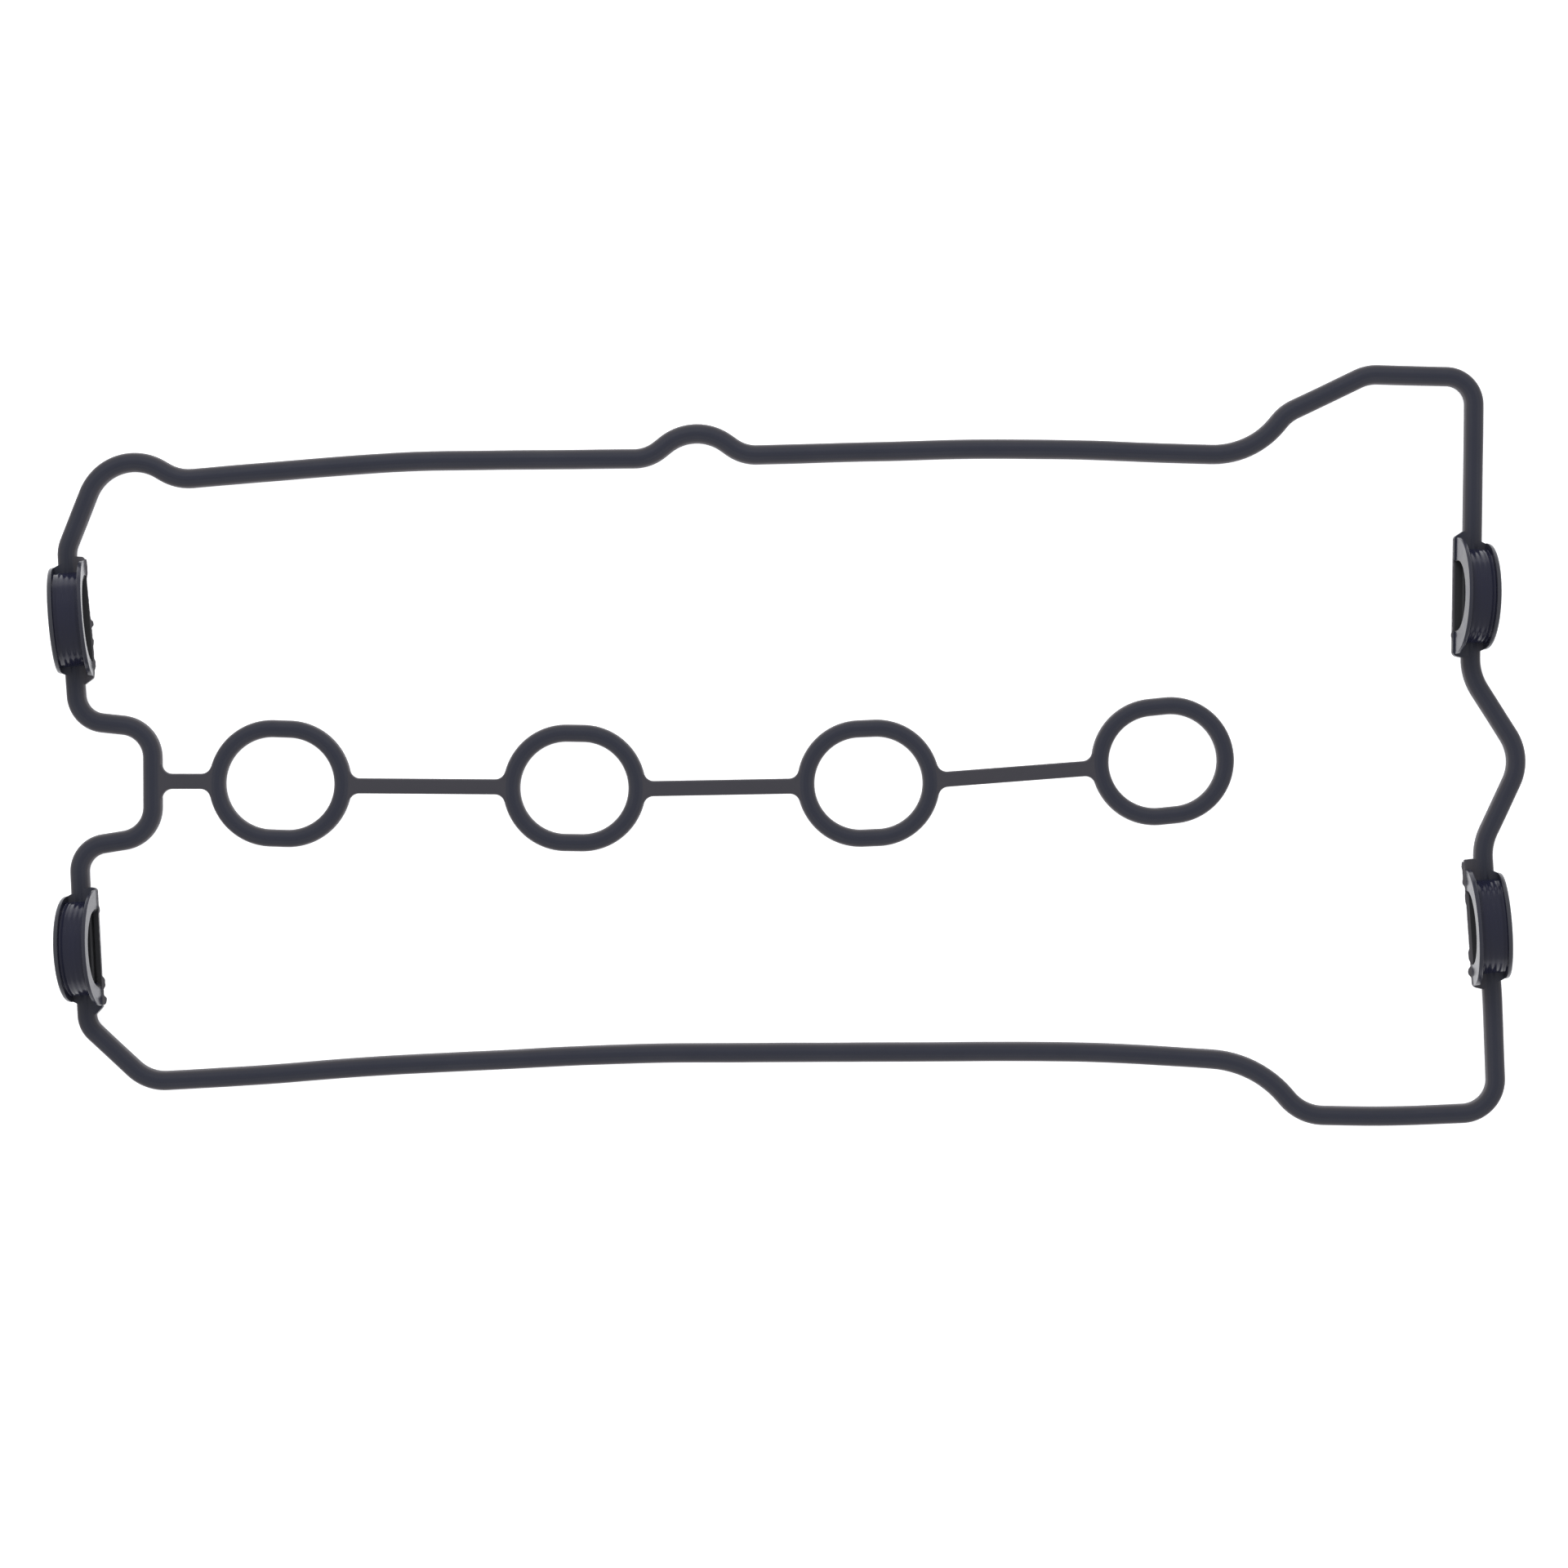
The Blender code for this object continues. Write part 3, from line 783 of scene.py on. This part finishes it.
def mark_surfaces(mesh, plug_frames):
    """Store where the plugs' rims get painted highlight and where their pockets are, which get
    painted glare.
    """
    # Painted highlight on the plugs' rims, stored per point
    rim_highlight = mesh.attributes.new("rim_highlight", "FLOAT", "POINT")
    # Painted glare in the pockets, stored per face
    pocket_glare = mesh.attributes.new("pocket", "FLOAT", "FACE")
    for plug_frame in plug_frames:
        for vert in mesh.vertices:
            if vert.co.z > JOINT_PLANE * MM:
                spot = plug_frame @ vert.co / MM
                value = rim_highlight_share(spot) if spot.length < 2 * FLANGE_RADIUS else 0.0
                if value:
                    rim_highlight.data[vert.index].value = value
        for face in mesh.polygons:
            spot = plug_frame @ face.center / MM
            if spot.length < FLANGE_RADIUS and in_pocket(spot):
                pocket_glare.data[face.index].value = 1.0


def drop_slivers(mesh):
    """Merge the tiny edges that cutting leaves, which would upset the shading."""
    bm = bmesh.new()
    bm.from_mesh(mesh)
    bmesh.ops.remove_doubles(bm, verts=bm.verts, dist=SLIVER * MM)
    bmesh.ops.dissolve_degenerate(bm, edges=bm.edges, dist=SLIVER * MM)
    bm.to_mesh(mesh)
    bm.free()


def build_gasket():
    """Make the smooth gasket as one piece."""
    source = random.Random(SEED)
    path = with_runs(rounded(OUTLINE, BEND_STEP, run=RUN_STEP), RUN_STEP)
    item = sweep("gasket_smooth", path, bead_section(BEAD_WIDTH), wave=WAVE)
    section = bead_section(RING_BEAD_WIDTH)
    joined = [sweep(f"ring_{k + 1}", ring_outline(k), section) for k in range(len(RING_SHIFT))]
    joined += webs()
    hollows = []
    places = []
    for plug in PLUGS:
        name, ledge, end = plug["name"], plug["ledge"], plug["end"]
        place = plug_place(end, plug["height"], plug["lean"], plug["twist"])
        order = 1 if end == WIDE_END else -1
        tapers, extras, corners = (plug[key][::order] for key in ("tapers", "extras", "corners"))
        parts = [half_moon(name + "_plug", plug["draft"])]
        parts.append(plinth(name + "_plinth", ledge, tapers, extras, corners))
        parts.append(flash(name + "_flash", ledge, extras, FLASH[name], end, source))
        hollow = pocket(name + "_pocket", ledge, plug["mouth"])
        for piece in parts + [hollow]:
            piece.matrix_world = place
        joined += parts
        hollows.append(hollow)
        places.append(place)
    combine(item, joined, "UNION", "joined")
    combine(item, hollows, "DIFFERENCE", "hollowed")
    mesh = item.data
    drop_slivers(mesh)
    mark_surfaces(mesh, [place.inverted() for place in places])
    mesh.transform(Matrix.Translation(SHIFT * MM))
    mesh.shade_smooth()
    mesh.set_sharp_from_angle(angle=math.radians(SHARP_ANGLE))
    shading = item.modifiers.new("even_shading", "WEIGHTED_NORMAL")
    shading.keep_sharp = True
    return item


def add_node(tree, kind, **values):
    """New shader node with its settings and input values."""
    node = tree.nodes.new(kind)
    for key, value in values.items():
        if key in node.inputs:
            node.inputs[key].default_value = value
        else:
            setattr(node, key, value)
    return node


def ramp_between(tree, source, low, high, start, end):
    """Value that runs from start to end while the source runs from low to high."""
    node = add_node(tree, "ShaderNodeMapRange")
    node.inputs["From Min"].default_value = low
    node.inputs["From Max"].default_value = high
    node.inputs["To Min"].default_value = start
    node.inputs["To Max"].default_value = end
    tree.links.new(source, node.inputs["Value"])
    return node.outputs["Result"]


def mixed(tree, share, first, second):
    """Colour that goes from the first to the second as the share goes from 0 to 1."""
    node = add_node(tree, "ShaderNodeMix", data_type="RGBA")
    tree.links.new(share, node.inputs["Factor"])
    for place, colour in ((MIX_FIRST, first), (MIX_SECOND, second)):
        if isinstance(colour, tuple):
            node.inputs[place].default_value = colour
        else:
            tree.links.new(colour, node.inputs[place])
    return node.outputs[MIX_RESULT]


def by_height(tree, height, limits, start=0.0, end=1.0):
    """Value that runs from start to end between two heights."""
    low, high = limits
    return ramp_between(tree, height, low * MM, high * MM, start, end)


def rubber():
    """Black moulded rubber: faint mottling, painted shade on the crest, painted sheen with some
    dust on the low places, plugs darker and bluer with painted reflection, painted highlight on
    the plugs' rims, painted glare in the pockets, and a fine mould grain.
    """
    material = bpy.data.materials.new("moulded_rubber")
    material.use_nodes = True
    tree = material.node_tree
    shader = tree.nodes["Principled BSDF"]
    spot = add_node(tree, "ShaderNodeTexCoord")
    link = tree.links.new
    split = add_node(tree, "ShaderNodeSeparateXYZ")
    link(spot.outputs["Object"], split.inputs["Vector"])
    height = split.outputs["Z"]

    mottle = add_node(tree, "ShaderNodeTexNoise", Scale=90.0, Detail=5.0, Roughness=0.6)
    link(spot.outputs["Object"], mottle.inputs["Vector"])
    patches = ramp_between(tree, mottle.outputs["Fac"], *MOTTLE_RANGE, 0.0, 1.0)
    sides = mixed(tree, patches, SIDE_DARK, SIDE_LIGHT)
    # Painted shade darkens the crest of the bead
    crest_shade = by_height(tree, height, CREST_HEIGHTS, end=CREST_SHADE_SHARE)
    bead = mixed(tree, crest_shade, sides, CREST_SHADE_COLOUR)
    # Painted sheen, partly dust, lightens the low places
    sheen_and_dust = by_height(tree, height, SHEEN_AND_DUST_HEIGHTS)
    low = mixed(tree, sheen_and_dust, bead, SHEEN_AND_DUST_COLOUR)
    edge_sheen_and_dust = by_height(tree, height, EDGE_SHEEN_AND_DUST_HEIGHTS)
    lowest = mixed(tree, edge_sheen_and_dust, low, EDGE_SHEEN_AND_DUST_COLOUR)
    # Plugs take their own tone with painted reflection of the dark bluish overhead
    plug_share = by_height(tree, height, PLUG_HEIGHTS)
    plugs = mixed(tree, plug_share, lowest, PLUG_TONE_AND_REFLECTION_COLOUR)
    # Painted highlight on the plugs' rims
    rim_highlight_node = add_node(tree, "ShaderNodeAttribute", attribute_name="rim_highlight")
    with_rim_highlight = mixed(tree, rim_highlight_node.outputs["Fac"], plugs, RIM_HIGHLIGHT_COLOUR)
    # Painted glare lightens the insides of the pockets
    hollow = add_node(tree, "ShaderNodeAttribute", attribute_name="pocket")
    colour = mixed(tree, hollow.outputs["Fac"], with_rim_highlight, POCKET_GLARE_COLOUR)
    link(colour, shader.inputs["Base Color"])

    haze = add_node(tree, "ShaderNodeTexNoise", Scale=420.0, Detail=4.0, Roughness=0.55)
    link(spot.outputs["Object"], haze.inputs["Vector"])
    uneven = ramp_between(tree, haze.outputs["Fac"], *HAZE_RANGE, -HAZE, HAZE)
    polish = by_height(tree, height, PLUG_HEIGHTS, BEAD_ROUGHNESS, PLUG_ROUGHNESS)
    sheen = add_node(tree, "ShaderNodeMath", operation="ADD")
    link(uneven, sheen.inputs[0])
    link(polish, sheen.inputs[1])
    link(sheen.outputs["Value"], shader.inputs["Roughness"])

    grain = add_node(tree, "ShaderNodeTexNoise", Scale=2600.0, Detail=3.0, Roughness=0.5)
    link(spot.outputs["Object"], grain.inputs["Vector"])
    bump = add_node(tree, "ShaderNodeBump", Strength=0.06, Distance=0.00003)
    link(grain.outputs["Fac"], bump.inputs["Height"])
    link(bump.outputs["Normal"], shader.inputs["Normal"])

    shader.inputs["Metallic"].default_value = 0.0
    shader.inputs["IOR"].default_value = 1.5
    shader.inputs["Specular IOR Level"].default_value = SPECULAR_LEVEL
    return material


def background_rays(tree):
    """Share that is one for rays that should meet the white background."""
    rays = add_node(tree, "ShaderNodeLightPath")
    total = None
    for name in ("Is Glossy Ray", "Is Transmission Ray"):
        larger = add_node(tree, "ShaderNodeMath", operation="MAXIMUM")
        first = total or rays.outputs["Is Camera Ray"]
        tree.links.new(first, larger.inputs[0])
        tree.links.new(rays.outputs[name], larger.inputs[1])
        total = larger.outputs["Value"]
    return total


def floor():
    """Plain white floor that keeps the soft shadow."""
    bm = bmesh.new()
    bmesh.ops.create_grid(bm, x_segments=1, y_segments=1, size=FLOOR_SIZE)
    mesh = bpy.data.meshes.new("floor")
    bm.to_mesh(mesh)
    bm.free()
    item = bpy.data.objects.new("floor", mesh)
    item.location = (0.0, 0.0, -FLOOR_DROP)
    bpy.context.scene.collection.objects.link(item)
    material = bpy.data.materials.new("white_floor")
    material.use_nodes = True
    tree = material.node_tree
    tree.nodes.clear()
    paint = add_node(tree, "ShaderNodeBsdfDiffuse", Color=FLOOR_PAINT)
    glow = add_node(tree, "ShaderNodeEmission", Color=WHITE)
    level = add_node(tree, "ShaderNodeMath", operation="MULTIPLY")
    level.inputs[1].default_value = FLOOR_LEVEL
    both = add_node(tree, "ShaderNodeAddShader")
    output = add_node(tree, "ShaderNodeOutputMaterial")
    link = tree.links.new
    link(background_rays(tree), level.inputs[0])
    link(level.outputs["Value"], glow.inputs["Strength"])
    link(paint.outputs["BSDF"], both.inputs[0])
    link(glow.outputs["Emission"], both.inputs[1])
    link(both.outputs["Shader"], output.inputs["Surface"])
    mesh.materials.append(material)


def surroundings():
    """White studio, a little darker overhead, where the camera stands."""
    world = bpy.data.worlds.new("studio")
    bpy.context.scene.world = world
    world.use_nodes = True
    tree = world.node_tree
    tree.nodes.clear()
    spot = add_node(tree, "ShaderNodeTexCoord")
    split = add_node(tree, "ShaderNodeSeparateXYZ")
    ramp = add_node(tree, "ShaderNodeValToRGB")
    for element, (position, colour) in zip(ramp.color_ramp.elements, SKY):
        element.position = position
        element.color = colour
    soft = add_node(tree, "ShaderNodeBackground")
    plain = add_node(tree, "ShaderNodeBackground", Color=WHITE, Strength=1.0)
    mix = add_node(tree, "ShaderNodeMixShader")
    output = add_node(tree, "ShaderNodeOutputWorld")
    link = tree.links.new
    link(spot.outputs["Generated"], split.inputs["Vector"])
    link(split.outputs["Z"], ramp.inputs["Fac"])
    link(ramp.outputs["Color"], soft.inputs["Color"])
    link(background_rays(tree), mix.inputs["Fac"])
    link(soft.outputs["Background"], mix.inputs[1])
    link(plain.outputs["Background"], mix.inputs[2])
    link(mix.outputs["Shader"], output.inputs["Surface"])


def lamp(name, spot, watts):
    """Soft square lamp aimed at the middle of the gasket."""
    data = bpy.data.lights.new(name, "AREA")
    data.shape = "SQUARE"
    data.size = LAMP_SIZE
    data.energy = watts
    item = bpy.data.objects.new(name, data)
    item.location = spot
    item.rotation_euler = (-Vector(spot)).to_track_quat("-Z", "Y").to_euler()
    item.visible_glossy = False
    bpy.context.scene.collection.objects.link(item)


def camera():
    """Straight above the gasket, as the photograph was taken."""
    data = bpy.data.cameras.new("camera")
    data.sensor_width = SENSOR
    data.lens = LENS
    item = bpy.data.objects.new("camera", data)
    item.location = CAMERA_SPOT * MM
    bpy.context.scene.collection.objects.link(item)
    bpy.context.scene.camera = item


def main():
    camera()
    surroundings()
    floor()
    for name, spot, watts in LAMPS:
        lamp(name, spot, watts)
    item = build_gasket()
    item.data.materials.clear()
    item.data.materials.append(rubber())
    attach(item, "root")
    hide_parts("gasket")
    bpy.context.scene.view_settings.view_transform = "Standard"


main()
